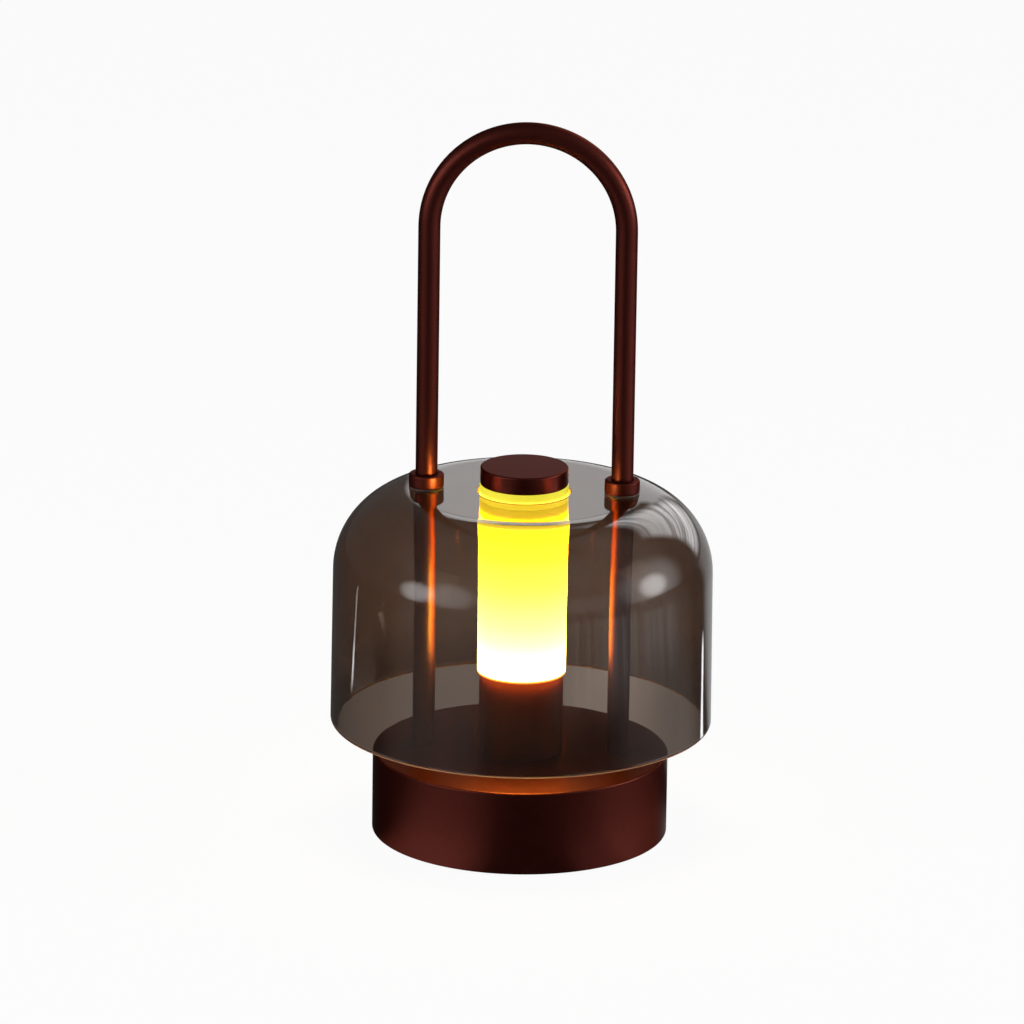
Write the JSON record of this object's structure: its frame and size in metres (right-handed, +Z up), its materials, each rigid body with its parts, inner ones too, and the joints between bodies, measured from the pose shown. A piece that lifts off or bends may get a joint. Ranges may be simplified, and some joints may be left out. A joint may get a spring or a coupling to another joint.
{
  "type": "lantern table lamp",
  "caption": "Portable lantern table lamp: round base, open smoked glass bell on posts, lit column with a metal cap, and a tall bent rod handle.",
  "frame": {"origin": "centre of the foot's underside, on the surface that the lamp stands on", "axes": "+Z up the lamp's axis; the handle lies in the XZ plane; -Y is the front and +Y the rear, with the push button and the charging socket"},
  "size_m": [0.174, 0.174, 0.334],
  "materials": {
    "bronze_metal": "satin dark bronze paint",
    "cast_bronze": "satin dark bronze paint on die-cast aluminium",
    "smoked_glass": "clear smoked brown-grey glass",
    "diffuser_opal": "frosted acrylic, lit from below",
    "silicone_smoke": "smoke-brown silicone",
    "foot_rubber": "matt black rubber",
    "steel_zinc": "zinc plated",
    "brass_turned": "turned brass",
    "aluminium_turned": "turned aluminium",
    "cover_black": "matt black powder coat",
    "black_plastic": "moulded, matt",
    "cell_wrap": "shrink sleeve on a metal cell",
    "foam_grey": "closed-cell foam",
    "lead_sheath": "insulated lead",
    "board_green": "solder mask",
    "board_white": "white solder mask on aluminium core",
    "chip_mix": "moulded parts",
    "led_phosphor": "yellow phosphor",
    "plunger_white": "moulded, matt"
  },
  "bodies": {
    "lamp": {"base_shell": "cast_bronze", "bottom_cover": "cover_black", "cover_screws": "steel_zinc", "foot_ring": "foot_rubber", "ballast_plate": "steel_zinc", "battery_tray": "black_plastic", "tray_screws": "steel_zinc", "battery_cells": "cell_wrap", "battery_pad": "foam_grey", "battery_lead": "lead_sheath", "board_bracket": "black_plastic", "bracket_screws": "steel_zinc", "control_board": "board_green", "board_components": "chip_mix", "charging_socket": "steel_zinc", "switch_body": "black_plastic", "stem_tube": "cast_bronze", "stem_nipple": "brass_turned", "nipple_nuts": "brass_turned", "nipple_washer": "steel_zinc", "led_carrier": "aluminium_turned", "led_board": "board_white", "led_emitters": "led_phosphor", "led_lead": "lead_sheath", "diffuser_tube": "diffuser_opal", "cap_seal": "foot_rubber", "top_cap": "cast_bronze", "post_left": "bronze_metal", "post_right": "bronze_metal", "tie_rods": "steel_zinc", "tie_nuts": "steel_zinc", "tie_washers": "steel_zinc", "lower_washers": "silicone_smoke", "upper_grommets": "silicone_smoke", "collar_left": "bronze_metal", "collar_right": "bronze_metal", "handle": "bronze_metal", "glass_shade": "smoked_glass"},
    "button": {"power_button": "bronze_metal", "switch_plunger": "plunger_white"}
  },
  "joints": [
    {"name": "button_press", "type": "slide", "parent": "lamp", "child": "button", "axis": [0, -1, 0], "range_m": [0, 0.0012], "stiffness_N_per_m": 900}
  ]
}
